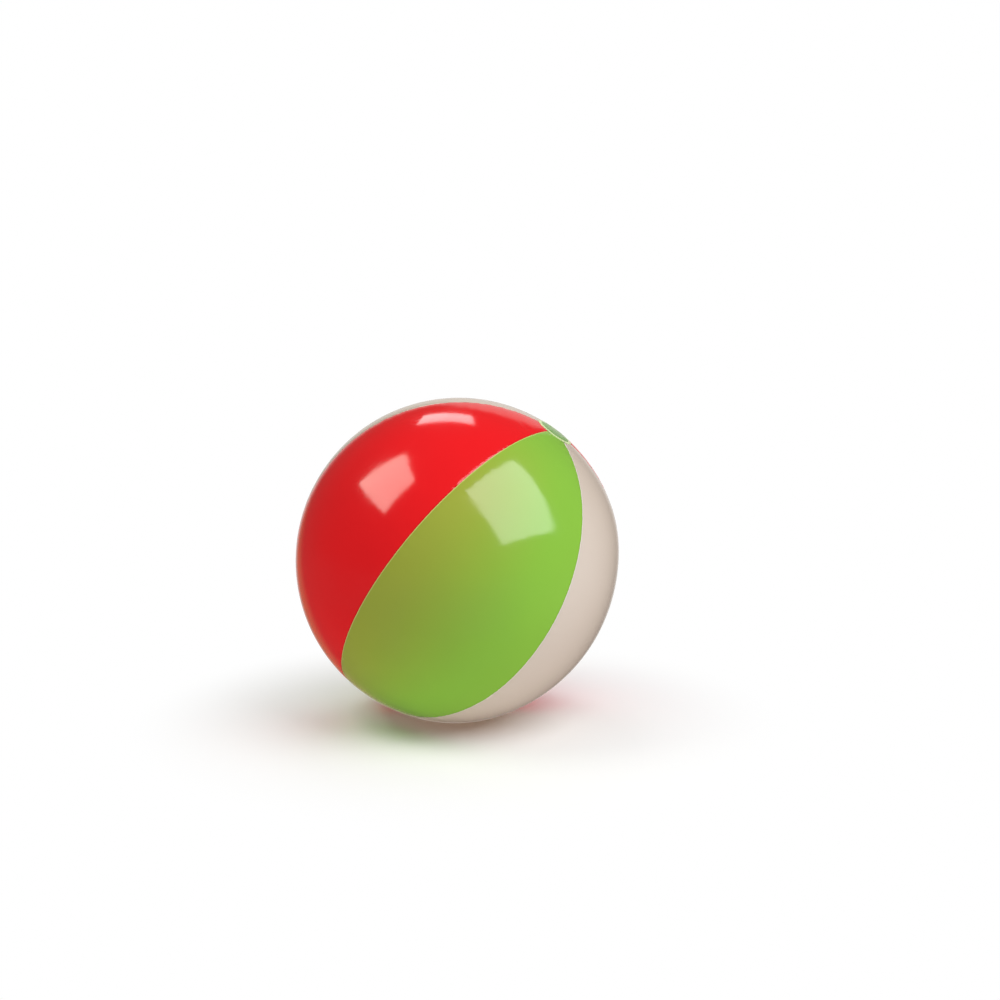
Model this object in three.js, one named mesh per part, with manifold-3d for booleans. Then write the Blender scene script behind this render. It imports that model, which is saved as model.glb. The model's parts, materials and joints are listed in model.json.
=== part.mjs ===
// Inflatable beach ball, about 0.72 m across: six welded vinyl gores, a disc over each pole,
// and a push-in inflation valve with a hinged plug and a check flap.
// Millimetres, +Z up. The ball stands on its own flattened contact patch at z = 0.
import * as THREE from 'three';
import { mergeVertices } from 'three/addons/utils/BufferGeometryUtils.js';
import Module from 'manifold-3d';

const wasm = await Module();
wasm.setup();

// ---- driving dimensions -------------------------------------------------------------------

const BALL_RADIUS = 360;
const FILM = 0.3; // vinyl film thickness
const GAP = 0.3; // clearance left between separate pieces that touch

const GORE_COLUMNS = 8; // facets across one gore
const GORE_ROWS = 28; // facets along one gore between its two polar discs
const LAP_WIDTH = 6; // weld flange tucked under the next gore
const JOGGLE_WIDTH = 1.2; // the film steps down to the flange within this width
const TIP_RADIUS = 20; // the gore tips stop short of the pole

const DISC_RADIUS = 44;
const DISC_FILM = 0.4;

// The ball lies with its poles off the vertical.
const POLE_LEAN = 36.3; // degrees from +Z
const LEAN_HEADING = -9; // degrees from +X, towards -Y
const PANEL_SPIN = -77.3; // degrees about the poles, brings the first gore to the front

const PATCH_DEPTH = 2.4; // the floor presses the film flat by this much
const FLAT_REACH = 60; // half the width of the tools that flatten a spot

const VALVE_LATITUDE = 35; // degrees from the equator towards the upper pole
const VALVE_GORE = 4; // counted from the front gore, towards the right
const VALVE_FLAT_DEPTH = 1.8; // the valve's flange holds the film flat by this much
const VALVE_HOLE_RADIUS = 16;
const HOLE_REACH = 10; // the hole is cut this far in and out of the film

const FLANGE_RADIUS = 25;
const FLANGE_LIP = 1; // the flange shows this much inside the film's hole
const FLANGE_THICKNESS = 0.9;
const MEMBRANE_FILM = 0.7;
const MEMBRANE_DROP = 8;
const MEMBRANE_LIP = 1.2; // level lips at the membrane's rim and foot

// Heights in the valve are measured from the film around it, outwards.
const BORE_RADIUS = 5;
const STEM_RADIUS = 6.8;
const STEM_LIP_RADIUS = 7.6;
const STEM_LIP_HEIGHT = 1.6;
const MOUTH_LEVEL = -1.6;
const STEM_FOOT_LEVEL = -13;

const PLUG_HINGE_REACH = 10.6; // from the valve's axis to the plug's living hinge
const PLUG_SHANK = [[3, 5], [3.9, 4.5], [4.4, 3], [4.6, 1.5]]; // [radius, depth below the mouth]
const PLUG_NECK_RADIUS = 4.7;
const PLUG_HEAD_RADIUS = 8;
const PLUG_HEAD_THICKNESS = 1.8;
const PLUG_HEAD_EDGE = 0.5; // bevel round the head
const PLUG_TAB_REACH = 13.4;
const PLUG_TAB_WIDTH = 6;
const PLUG_TAB_THICKNESS = 0.8;
const STRAP_WIDTH = 5;
const STRAP_THICKNESS = 0.8;
const ROOT = 1; // how far an arm or tab starts inside the round it grows from

const FLAP_RADIUS = 6.2;
const FLAP_THICKNESS = 0.5;
const FLAP_TAB_REACH = 7.2;
const FLAP_TAB_WIDTH = 4;

const RING_SIDES = 36; // facets round the flange and membrane
const TUBE_SIDES = 32; // facets round the stem, plug and flap

// ---- materials ----------------------------------------------------------------------------

const vinyl = (color, roughness) => new THREE.MeshStandardMaterial({ color, roughness, metalness: 0 });

const RED_VINYL = vinyl(0xe31b23, 0.18);
const GREEN_VINYL = vinyl(0x8cc63f, 0.18);
const WHITE_VINYL = vinyl(0xece8e4, 0.2);
const DISC_VINYL = vinyl(0x6bad33, 0.15);
const VALVE_VINYL = vinyl(0xf1f0ec, 0.35);

// Two runs of green, white, red make the six gores, in order about the upper pole.
const GORES = [
  ['gore_green_front', GREEN_VINYL],
  ['gore_white_right', WHITE_VINYL],
  ['gore_red_right', RED_VINYL],
  ['gore_green_back', GREEN_VINYL],
  ['gore_white_back', WHITE_VINYL],
  ['gore_red_left', RED_VINYL],
];

// ---- helpers ------------------------------------------------------------------------------

const { degToRad, radToDeg } = THREE.MathUtils;
const X_AXIS = new THREE.Vector3(1, 0, 0);
const Y_AXIS = new THREE.Vector3(0, 1, 0);
const Z_AXIS = new THREE.Vector3(0, 0, 1);
const GORE_ANGLE = 360 / GORES.length;
const COLUMN_ANGLE = GORE_ANGLE / GORE_COLUMNS;
const BALL_SIDES = GORES.length * GORE_COLUMNS;

function indexed(corners, faces) {
  const geometry = new THREE.BufferGeometry();
  geometry.setAttribute('position', new THREE.Float32BufferAttribute(corners, 3));
  geometry.setIndex(faces);
  return geometry;
}

function toSolid(geometry) {
  const merged = geometry.clone();
  merged.deleteAttribute('normal');
  merged.deleteAttribute('uv');
  const { attributes, index } = mergeVertices(merged);
  const vertProperties = new Float32Array(attributes.position.array);
  const triVerts = new Uint32Array(index.array);
  return new wasm.Manifold(new wasm.Mesh({ numProp: 3, vertProperties, triVerts }));
}

function toGeometry(solid) {
  const { vertProperties, triVerts } = solid.getMesh();
  const geometry = indexed([...vertProperties], [...triVerts]);
  geometry.computeVertexNormals();
  return geometry;
}

function joined(...geometries) {
  return toGeometry(geometries.map(toSolid).reduce((whole, piece) => whole.add(piece)));
}

function pieceOf(name, material, geometry) {
  const mesh = new THREE.Mesh(geometry, material);
  mesh.name = name;
  return mesh;
}

// A shape turned about +Z; the profile is [radius, height] pairs, anticlockwise.
function turned(profile, segments) {
  const points = profile.map(([radius, height]) => new THREE.Vector2(radius, height));
  return new THREE.LatheGeometry(points, segments).rotateX(Math.PI / 2);
}

// A box given by where it starts and ends along each axis.
function block([x0, x1], [y0, y1], [z0, z1]) {
  const box = new THREE.BoxGeometry(x1 - x0, y1 - y0, z1 - z0);
  return box.translate((x0 + x1) / 2, (y0 + y1) / 2, (z0 + z1) / 2);
}

// A round bar along +Z, laid to point along a direction from the origin.
function barTowards(direction, radius, from, to, sides = BALL_SIDES) {
  const bar = new THREE.CylinderGeometry(radius, radius, to - from, sides);
  bar.rotateX(Math.PI / 2).translate(0, 0, (from + to) / 2);
  return bar.applyQuaternion(new THREE.Quaternion().setFromUnitVectors(Z_AXIS, direction));
}

// ---- the ball's own frame: centre at the origin, poles on its Z axis ------------------------

// A point on the ball, from its angle off the upper pole and its longitude.
function onBall(fromPole, longitude, radius = BALL_RADIUS) {
  const fromAxis = radius * Math.sin(degToRad(fromPole));
  return new THREE.Vector3(
    fromAxis * Math.cos(degToRad(longitude)),
    fromAxis * Math.sin(degToRad(longitude)),
    radius * Math.cos(degToRad(fromPole)),
  );
}

const angleAtRadius = (radius) => radToDeg(Math.asin(radius / BALL_RADIUS));
const TIP_ANGLE = angleAtRadius(TIP_RADIUS);
const DISC_ANGLE = angleAtRadius(DISC_RADIUS);

// Angles off the pole of the facet lines across a gore, from one tip to the other.
function rowAngles() {
  const step = (180 - 2 * DISC_ANGLE) / GORE_ROWS;
  const between = Array.from({ length: GORE_ROWS + 1 }, (_, row) => DISC_ANGLE + row * step);
  return [TIP_ANGLE, ...between, 180 - TIP_ANGLE];
}

// The film's outer line across one gore: it starts over the neighbour's flange, has a corner at
// each facet line, then steps down to the flange that runs under the next gore.
function goreLine(fromPole) {
  const edge = GORE_ANGLE / 2;
  const line = [];
  for (let column = 0; column < GORE_COLUMNS; column += 1) {
    line.push(onBall(fromPole, column * COLUMN_ANGLE - edge));
  }
  const before = line.at(-1);
  const seam = onBall(fromPole, edge);
  const after = onBall(fromPole, edge + COLUMN_ANGLE);
  const facet = seam.distanceTo(before);
  const tuck = 1 - (FILM + GAP) / BALL_RADIUS;
  const widestLap = 0.8; // of a facet, where the gore runs out to its tip
  line.push(seam.clone().lerp(before, JOGGLE_WIDTH / facet));
  line.push(seam.clone().lerp(before, GAP / facet).multiplyScalar(tuck));
  line.push(seam.clone().lerp(after, Math.min(LAP_WIDTH / facet, widestLap)).multiplyScalar(tuck));
  return line;
}

// One gore as a closed shell: each loop runs out along the outer face and back along the inner.
function goreShell() {
  const inset = 1 - FILM / BALL_RADIUS;
  const loops = rowAngles().map((fromPole) => {
    const outer = goreLine(fromPole);
    const inner = outer.map((point) => point.clone().multiplyScalar(inset));
    return [...outer, ...inner.reverse()];
  });
  const size = loops[0].length;
  const last = (loops.length - 1) * size;
  const faces = [];
  for (let row = 0; row < last; row += size) {
    for (let k = 0; k < size; k += 1) {
      const a = row + k;
      const b = row + ((k + 1) % size);
      faces.push(a, a + size, b, b, a + size, b + size);
    }
  }
  for (let k = 0; k + 1 < size / 2; k += 1) {
    const opposite = size - 1 - k;
    faces.push(k, k + 1, opposite, k + 1, opposite - 1, opposite);
    faces.push(last + k, last + opposite, last + k + 1);
    faces.push(last + k + 1, last + opposite, last + opposite - 1);
  }
  return indexed(loops.flat().flatMap((point) => point.toArray()), faces);
}

// The whole ball as one solid with the gores' facets.
function ballSolid(radius) {
  const rows = rowAngles();
  const corners = [0, 0, radius];
  for (const fromPole of rows) {
    for (let side = 0; side < BALL_SIDES; side += 1) {
      corners.push(...onBall(fromPole, side * COLUMN_ANGLE, radius).toArray());
    }
  }
  corners.push(0, 0, -radius);
  const lowerPole = rows.length * BALL_SIDES + 1;
  const faces = [];
  for (let side = 0; side < BALL_SIDES; side += 1) {
    const next = (side + 1) % BALL_SIDES;
    faces.push(0, 1 + side, 1 + next);
    for (let row = 0; row + 1 < rows.length; row += 1) {
      const a = 1 + row * BALL_SIDES + side;
      const b = 1 + row * BALL_SIDES + next;
      faces.push(a, a + BALL_SIDES, b, b, a + BALL_SIDES, b + BALL_SIDES);
    }
    faces.push(lowerPole, lowerPole - BALL_SIDES + next, lowerPole - BALL_SIDES + side);
  }
  return toSolid(indexed(corners, faces));
}

// Presses the film flat where it would stand beyond a plane square to the direction.
function flattened(film, direction, depth) {
  const level = BALL_RADIUS - depth;
  const beyond = barTowards(direction, FLAT_REACH, level, level + 2 * depth);
  const plate = barTowards(direction, FLAT_REACH, level - FILM, level);
  const patch = toSolid(plate).intersect(ballSolid(BALL_RADIUS - FILM / 2));
  return film.subtract(toSolid(beyond)).add(patch);
}

// ---- where things are -----------------------------------------------------------------------

const turnAbout = (axis, degrees) => new THREE.Quaternion().setFromAxisAngle(axis, degToRad(degrees));

// From the ball's own frame to the floor's.
const ballTurn = turnAbout(Z_AXIS, LEAN_HEADING)
  .multiply(turnAbout(Y_AXIS, POLE_LEAN))
  .multiply(turnAbout(Z_AXIS, PANEL_SPIN));

const towardsFloor = Z_AXIS.clone().negate().applyQuaternion(ballTurn.clone().invert());
const towardsValve = onBall(90 - VALVE_LATITUDE, VALVE_GORE * GORE_ANGLE, 1);

function goreUnder(direction) {
  const longitude = radToDeg(Math.atan2(direction.y, direction.x));
  return Math.round(longitude / GORE_ANGLE + GORES.length) % GORES.length;
}

// ---- the shell of the ball ------------------------------------------------------------------

function gore([name, material], index) {
  let film = toSolid(goreShell().rotateZ(degToRad(index * GORE_ANGLE)));
  if (index === goreUnder(towardsFloor)) film = flattened(film, towardsFloor, PATCH_DEPTH);
  if (index === VALVE_GORE) {
    const [inside, outside] = [BALL_RADIUS - HOLE_REACH, BALL_RADIUS + HOLE_REACH];
    const hole = barTowards(towardsValve, VALVE_HOLE_RADIUS, inside, outside);
    film = flattened(film, towardsValve, VALVE_FLAT_DEPTH).subtract(toSolid(hole));
  }
  return pieceOf(name, material, toGeometry(film));
}

// A disc welded over the gore tips, lying on their facets.
function polarDisc(name) {
  const lineAt = (radius) => [0, TIP_ANGLE, DISC_ANGLE].map((fromPole) => {
    const { x, z } = onBall(fromPole, 0, radius);
    return [x, z];
  });
  const underside = lineAt(BALL_RADIUS + GAP);
  const topside = lineAt(BALL_RADIUS + GAP + DISC_FILM).reverse();
  return pieceOf(name, DISC_VINYL, turned([...underside, ...topside], BALL_SIDES));
}

function ball() {
  const lowerDisc = polarDisc('polar_disc_lower');
  lowerDisc.rotation.x = Math.PI;
  const group = new THREE.Group();
  group.add(...GORES.map(gore), polarDisc('polar_disc_upper'), lowerDisc);
  return group;
}

// ---- the valve, in a frame of its own: origin on the film, +Z outwards, +X to the upper pole --

const flangeTop = -FILM - GAP;
const flangeBore = VALVE_HOLE_RADIUS - FLANGE_LIP;

// The ring welded to the inside of the film.
function valveFlange() {
  const foot = flangeTop - FLANGE_THICKNESS;
  const profile = [
    [flangeBore, foot],
    [FLANGE_RADIUS, foot],
    [FLANGE_RADIUS, flangeTop],
    [flangeBore, flangeTop],
    [flangeBore, foot],
  ];
  return pieceOf('valve_flange', VALVE_VINYL, turned(profile, RING_SIDES));
}

// The soft cone between flange and stem; with the valve pushed in, it hangs into the ball.
function valveMembrane() {
  const rim = flangeBore - GAP;
  const foot = STEM_RADIUS + GAP;
  const low = flangeTop - MEMBRANE_DROP;
  const profile = [
    [rim, flangeTop],
    [rim - MEMBRANE_LIP, flangeTop],
    [foot + MEMBRANE_LIP, low],
    [foot, low],
    [foot, low - MEMBRANE_FILM],
    [foot + MEMBRANE_LIP + MEMBRANE_FILM, low - MEMBRANE_FILM],
    [rim - MEMBRANE_LIP + MEMBRANE_FILM, flangeTop - MEMBRANE_FILM],
    [rim, flangeTop - MEMBRANE_FILM],
    [rim, flangeTop],
  ];
  return pieceOf('valve_membrane', VALVE_VINYL, turned(profile, RING_SIDES));
}

const strapSides = [-STRAP_WIDTH / 2, STRAP_WIDTH / 2];
const earReach = PLUG_HINGE_REACH - GAP;

// The tube that is blown or pumped through, with a lip at its mouth and an ear for the strap.
function valveStem() {
  const lipFoot = MOUTH_LEVEL - STEM_LIP_HEIGHT;
  const profile = [
    [BORE_RADIUS, STEM_FOOT_LEVEL],
    [STEM_RADIUS, STEM_FOOT_LEVEL],
    [STEM_RADIUS, lipFoot],
    [STEM_LIP_RADIUS, lipFoot],
    [STEM_LIP_RADIUS, MOUTH_LEVEL],
    [BORE_RADIUS, MOUTH_LEVEL],
    [BORE_RADIUS, STEM_FOOT_LEVEL],
  ];
  const ear = block([STEM_RADIUS, earReach], strapSides, [MOUTH_LEVEL - STRAP_THICKNESS, MOUTH_LEVEL]);
  return pieceOf('valve_stem', VALVE_VINYL, joined(turned(profile, TUBE_SIDES), ear));
}

// The plug narrows towards its end, so that it clears the bore as it swings out.
function valvePlug() {
  const seat = MOUTH_LEVEL + GAP;
  const top = seat + PLUG_HEAD_THICKNESS;
  const shank = PLUG_SHANK.map(([radius, depth]) => [radius, MOUTH_LEVEL - depth]);
  const tabSides = [-PLUG_TAB_WIDTH / 2, PLUG_TAB_WIDTH / 2];
  const profile = [
    [0, shank[0][1]],
    ...shank,
    [PLUG_NECK_RADIUS, seat],
    [PLUG_HEAD_RADIUS, seat],
    [PLUG_HEAD_RADIUS, top - PLUG_HEAD_EDGE],
    [PLUG_HEAD_RADIUS - PLUG_HEAD_EDGE, top],
    [0, top],
  ];
  const root = PLUG_HEAD_RADIUS - ROOT;
  const arm = block([root, earReach], strapSides, [seat, seat + STRAP_THICKNESS]);
  const tab = block([-PLUG_TAB_REACH, -root], tabSides, [top - PLUG_TAB_THICKNESS, top]);
  return pieceOf('valve_plug', VALVE_VINYL, joined(turned(profile, TUBE_SIDES), arm, tab));
}

// The thin web that joins the stem's ear to the plug's arm and bends when the plug opens.
function plugStrap() {
  const heights = [MOUTH_LEVEL - STRAP_THICKNESS, MOUTH_LEVEL + GAP + STRAP_THICKNESS];
  const web = block([PLUG_HINGE_REACH, PLUG_HINGE_REACH + STRAP_THICKNESS], strapSides, heights);
  return pieceOf('plug_strap', VALVE_VINYL, web);
}

// The soft disc under the stem that the ball's air holds shut.
function checkFlap() {
  const top = STEM_FOOT_LEVEL - GAP;
  const foot = top - FLAP_THICKNESS;
  const disc = turned([[0, foot], [FLAP_RADIUS, foot], [FLAP_RADIUS, top], [0, top]], TUBE_SIDES);
  const tab = block([0, FLAP_TAB_REACH], [-FLAP_TAB_WIDTH / 2, FLAP_TAB_WIDTH / 2], [foot, top]);
  return pieceOf('check_flap', VALVE_VINYL, joined(disc, tab));
}

function valve() {
  const group = new THREE.Group();
  group.add(valveFlange(), valveMembrane(), valveStem(), valvePlug(), plugStrap(), checkFlap());
  const alongGore = onBall(-VALVE_LATITUDE, VALVE_GORE * GORE_ANGLE, 1);
  const acrossGore = new THREE.Vector3().crossVectors(towardsValve, alongGore);
  group.setRotationFromMatrix(new THREE.Matrix4().makeBasis(alongGore, acrossGore, towardsValve));
  group.position.copy(towardsValve).multiplyScalar(BALL_RADIUS - VALVE_FLAT_DEPTH);
  return group;
}

const beachBall = new THREE.Group();
beachBall.add(ball(), valve());
beachBall.quaternion.copy(ballTurn);
beachBall.position.z = BALL_RADIUS - PATCH_DEPTH;

export default beachBall;
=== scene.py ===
"""The looks of an inflatable beach ball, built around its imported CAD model.

Metres, +Z up. The ball's own coordinates are an angle off its upper pole and a longitude about
its poles, counted from the middle of the front gore. The valve's own frame is in millimetres:
origin on the film, +Z outwards, +X towards the upper pole.
"""
import json
import math

import bmesh
import bpy
import numpy as np
from mathutils import Matrix, Vector


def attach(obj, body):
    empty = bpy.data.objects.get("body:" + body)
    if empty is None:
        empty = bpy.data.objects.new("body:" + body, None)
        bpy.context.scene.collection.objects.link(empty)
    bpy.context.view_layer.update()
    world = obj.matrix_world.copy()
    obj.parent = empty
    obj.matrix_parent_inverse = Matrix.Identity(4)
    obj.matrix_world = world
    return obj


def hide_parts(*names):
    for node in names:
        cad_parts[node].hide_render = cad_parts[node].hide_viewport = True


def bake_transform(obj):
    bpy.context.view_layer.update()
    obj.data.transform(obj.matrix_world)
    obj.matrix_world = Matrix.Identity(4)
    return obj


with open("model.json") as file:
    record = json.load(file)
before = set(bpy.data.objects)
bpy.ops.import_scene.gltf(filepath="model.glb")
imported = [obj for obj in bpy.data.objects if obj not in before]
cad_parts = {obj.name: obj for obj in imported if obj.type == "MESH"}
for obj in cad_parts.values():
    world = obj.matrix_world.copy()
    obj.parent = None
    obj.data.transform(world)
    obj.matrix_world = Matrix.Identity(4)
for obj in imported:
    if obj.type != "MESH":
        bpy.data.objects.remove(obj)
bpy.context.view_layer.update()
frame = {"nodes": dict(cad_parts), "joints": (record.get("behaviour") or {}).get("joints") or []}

# ---- driving dimensions ---------------------------------------------------------------------

MM = 0.001

# Gores in order of longitude, with the material of each. The valve is in one of them.
GORES = (
    ("gore_green_front", "vinyl_green"),
    ("gore_white_right", "vinyl_white"),
    ("gore_red_right", "vinyl_red"),
    ("gore_green_back", "vinyl_green"),
    ("gore_white_back", "vinyl_white"),
    ("gore_red_left", "vinyl_red"),
)
VALVE_GORE = 4
GORE_ANGLE = 2 * math.pi / len(GORES)

FILM = 0.3 * MM
CAD_GAP = 0.3 * MM  # clearance between touching pieces of the CAD model
SEAM_GAP = 0.05 * MM
LAP_WIDTH = 6 * MM  # weld flange under the next gore
JOGGLE_WIDTH = 1.2 * MM  # the film steps down to the flange within this
EDGE_ROUND = 0.15 * MM
TIP_RADIUS = 20 * MM

# Near its tips a gore is narrow: its flange and edge are at most these shares of its width.
WIDEST_FLANGE = 0.25
WIDEST_EDGE = 0.0035

GORE_ROWS = 400
GORE_COLUMNS = 44
COLUMN_CROWDING = 0.8  # 0 spaces the columns evenly, 1 crowds them at the seams
VALVE_ROWS = 46
VALVE_COLUMNS = 40
VALVE_REACH = 32 * MM  # the grid is finer this far around the valve

POLE_BULGE = 1.5 * MM  # the film stands a little proud where the gores meet
POLE_BULGE_ANGLE = math.radians(12)

SOFT_SIDE = Vector((0.77, 0.15, -0.60)).normalized()  # the side that gives a little
SOFT_DEPTH = 11 * MM
SOFT_SPREAD = math.radians(45)

CREASE_DEPTH = 0.9 * MM  # the weld holds the seam in
CREASE_WIDTH = 7 * MM
# Puckers run out square to each seam: (wavelength, height, how far they reach).
PUCKERS = ((13 * MM, 0.26 * MM, 13 * MM), (31 * MM, 0.30 * MM, 26 * MM))
DISC_PUCKERS = 42  # ripples round each polar disc
DISC_PUCKER_HEIGHT = 0.22 * MM
DISC_PUCKER_REACH = 12 * MM
VALVE_PUCKERS = 26  # ripples round the valve's weld
VALVE_PUCKER_HEIGHT = 0.2 * MM
VALVE_PUCKER_RISE = 3 * MM
VALVE_PUCKER_REACH = 8 * MM
UNEVENNESS = 0.10 * MM
UNEVEN_WAVES = 7
UNEVEN_SCALES = (7, 16)  # radians of wave for each radian round the ball
UNEVEN_SEED = 4
FLAT_SOFTNESS = 0.5 * MM  # rounding where the ball turns into a flat spot

DISC_FILM = 0.4 * MM
DISC_RIDGE = 0.3 * MM  # the six laps show through the disc
DISC_RIDGE_WIDTH = 2.5 * MM
DISC_STEP = 3 * MM  # the disc steps down to the tips' round opening within this
DISC_MARGIN = 8 * MM  # pale margin outside the printed middle
WELD_RING = 42.2 * MM
WELD_RING_WIDTH = 1.1 * MM
WELD_RING_DEPTH = 0.25 * MM
DISC_RINGS = 64
DISC_CROWDING = 0.9  # 1 spaces the rings evenly, less crowds them at the rim
DISC_CENTRE = 0.02 * MM  # radius of the innermost ring
DISC_SIDES = 168

# The valve, in millimetres from the film outwards.
HOLE_RADIUS = 16
DRILL_REACH = 6  # the cutter for the hole stands this far out on both sides of the film
FLANGE_BORE = 15
FLANGE_RADIUS = 25
FLANGE_TOP = -0.35
FLANGE_THICKNESS = 0.9
FLANGE_FILLET = 0.3
MEMBRANE_FILM = 0.7
MEMBRANE_RIM = FLANGE_TOP - 0.25  # low enough for the opened plug to pass over
MEMBRANE_FOOT = FLANGE_TOP - 8.05
MEMBRANE_ROLL = 0.75  # 0 is a straight cone, 1 leaves its rim and foot level
MEMBRANE_CLEARANCE = 0.06
MEMBRANE_STEPS = 28
BORE_RADIUS = 5
STEM_RADIUS = 6.8
STEM_LIP_RADIUS = 7.6
STEM_LIP_HEIGHT = 1.6
MOUTH_LEVEL = -1.6
STEM_FOOT_LEVEL = -13
PLUG_SEAT = MOUTH_LEVEL + 0.3
PLUG_HEAD_RADIUS = 8
PLUG_HEAD_THICKNESS = 1.8
PLUG_HEAD_ROUND = 0.5
PLUG_DISH = (1.8, 2.4, 0.5)  # where the hollow in its head starts and ends, and how deep it is
PLUG_ROOT = PLUG_HEAD_RADIUS - 1  # the arm and the tab start this far out
PLUG_SHANK_LENGTH = 5
# Corners of the shank from its end up, with its sealing ridge: (radius, height above its end).
PLUG_SHANK = ((0, 0), (3, 0), (3.9, 0.5), (4.4, 2), (4.75, 3.2), (4.4, 4.2))
PLUG_NECK_RADIUS = 4.6
PLUG_TAB_REACH = 13.4
PLUG_TAB_RADIUS = 3
PLUG_TAB_OVERLAP = 0.6
PLUG_TAB_THICKNESS = 0.8
HINGE_REACH = 10.6
HINGE_LEVEL = MOUTH_LEVEL
STRAP_WIDTH = 5
STRAP_THICKNESS = 0.8
STRAP_LEAF = 0.3  # each leaf of the strap reaches this far from the hinge's axis
FLAP_GAP = 0.3
FLAP_RADIUS = 6.2
FLAP_THICKNESS = 0.5
FLAP_TAB_REACH = 7.2
FLAP_TAB_WIDTH = 4
VOXEL = 0.2  # grid that the mouldings are joined on
LATHE_SIDES = 160
FILLET_STEPS = 5

# Gore films: the colour beside the gore before, with painted light from that gore shining through
# the film, the colour beside the gore after, its cut edge, paler where the weld squeezes out and
# with a painted highlight, and painted shade in the crease where it lies on another film.
VINYLS = {
    "vinyl_red": (0xDB181E, 0xDB181E, 0xE9705E, 0xB01118),
    "vinyl_green": (0x949F3D, 0x7FB23E, 0xD2D987, 0x6C972F),
    "vinyl_white": (0xC6BBB1, 0xC1B3A6, 0xE2DBD3, 0xB2A69B),
}
VINYL_IOR = 1.5
DISC_PRINT = (0x568C28, 0x67A034)
DISC_PALE = 0xC6D89C
MILKY = (0xE2DFD7, 0xEAE8E2)  # the valve
MILKY_IOR = 1.48
MILKY_DEPTH = 2 * MM  # how far light scatters in the valve's thick vinyl
MILKY_SHARE = 0.12

# Fades on the films: where each starts, where it ends, and how much there is of it at both.
# The first two are painted light from the gore before, shining through the film.
PAINTED_SHINE_THROUGH = (0.0, 0.8, 1.0, 0.0)  # colour of the gore before, by share of the width
PAINTED_SHINE_RISE = (60, 380, 0.0, 1.0)  # and by distance in mm from the upper pole
# The cut edge is paler where the weld squeezes out, and carries a painted highlight.
PALE_EDGE_AND_HIGHLIGHT = (0.8, 2.4, 0.55, 0.0)  # these three in mm from the seam
# Painted shade in the crease where the film lies on the next gore.
PAINTED_CREASE_SHADE = (0.8, 3.2, 0.6, 0.0)
SEAM_WELD = (4.6, 5.4, 1.0, 0.0)
RING_WELD_START = (HOLE_RADIUS + 0.8, HOLE_RADIUS + 1.4, 0.0, 1.0)  # in mm from the valve's axis
RING_WELD_END = (FLANGE_RADIUS - 1.4, FLANGE_RADIUS - 0.8, 1.0, 0.0)
DISC_PRINT_EDGE = (-0.4, 0.4, 0.0, 1.0)  # in mm outside the disc's printed middle
DISC_WELD = (2, 3, 0.0, 1.0)

# Clouds in the colours: part of the noise used, and its scale in cells per metre.
CLOUD_RANGE = (0.3, 0.7)
FILM_CLOUDS = 5
FILM_CLOUD_SHARE = 0.10  # the most that they change a gore's colour
DISC_CLOUDS = 14
MILKY_CLOUDS = 160

WELD_RIBS = (1.6, 0.05 * MM)  # spacing in mm, and depth, of the ribs a welding bar leaves
WELD_ROUGHNESS = 0.12  # what a weld adds to the film's roughness

# Fine relief: its scale in cells per metre, and its height.
FILM_RIPPLE = (26, 0.25 * MM)
FILM_GRAIN = (950, 0.004 * MM)
MILKY_GRAIN = (2600, 0.012 * MM)
# Roughness: scale and detail of its patches, part of the noise used, and roughness at its ends.
FILM_SCUFF = (9, 4, (0.35, 0.75), (0.10, 0.17))
MILKY_SCUFF = (420, 3, (0.3, 0.7), (0.30, 0.42))

CAMERA_PLACE = Vector((0.0016, -3.7106, 1.0786))
CAMERA_TURN = (math.radians(81.02), 0, math.radians(-1.39))
LENS = 61.2
SENSOR = 36

LAMPS = {
    # Lies on the floor, and stands for a studio floor that is brighter than the one here.
    "floor_bounce": dict(
        place=(0, 0, MM), facing=(0, 0, 1), width_along=(1, 0, 0), size=(3, 3),
        radiance=0.38, tint=(1, 0.80, 0.67), mirrored=False,
    ),
    "softbox_left": dict(
        place=(-1.536, -0.398, 2.385), facing=(0.975, -0.02, -0.22), width_along=(0, 1, 0),
        size=(1.29, 1.54), radiance=6.2, tint=(1, 1, 0.88),
    ),
    "softbox_top": dict(
        place=(-0.172, 1.516, 2.557), facing=(0.399, 0.346, -0.85),
        width_along=(0.917, -0.147, 0.371), size=(0.967, 1.125), radiance=4.6,
    ),
    "softbox_right": dict(
        place=(1.4239, -1.3065, 2.1227), facing=(-0.569, 0.400, -0.719),
        width_along=(0.575, 0.818, 0), size=(2.1, 2.2), radiance=5.0,
    ),
}

ROOM_FILL = (0.09, 0.08, 0.075)  # radiance that lights the ball from all round
ROOM_MIRRORED = (0.11, 0.095, 0.085)  # and what it reflects
# Lit parts of the backdrop, which the ball reflects along its rim: radiance, towards its middle,
# and the angles off that where it starts to fade and ends.
BACKDROP_PATCHES = (
    ((0.36, 0.28, 0.16), (-0.32, 0.90, -0.30), math.radians(4), math.radians(24)),
    ((0.72, 0.68, 0.65), (0, 1, 0), math.radians(13), math.radians(29)),
    ((0.72, 0.68, 0.65), (0.17, 0.90, 0.40), math.radians(11), math.radians(15.5)),
)

FLOOR_RADIUS = 9.0
FLOOR_LEVEL = -0.3 * MM
FLOOR_SIDES = 96
FLOOR_COLOUR = (0.93, 0.925, 0.92, 1)
FLOOR_ROUGHNESS = 0.7
FLOOR_IOR = 1.4
FLOOR_FADE = (0.10, 0.75, 0.0, 1.0)  # to white, with the distance from the ball's foot


# ---- the frame's places -----------------------------------------------------------------------

def node_points(name):
    return np.array([v.co for v in frame["nodes"][name].data.vertices])


def joint(name):
    return next(j for j in frame["joints"] if j["name"] == name)


def unit(vector):
    return vector / np.linalg.norm(vector)


def turned(vector, axis, angle):
    """A vector square to the axis, turned about it."""
    return vector * math.cos(angle) + np.cross(axis, vector) * math.sin(angle)


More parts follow.
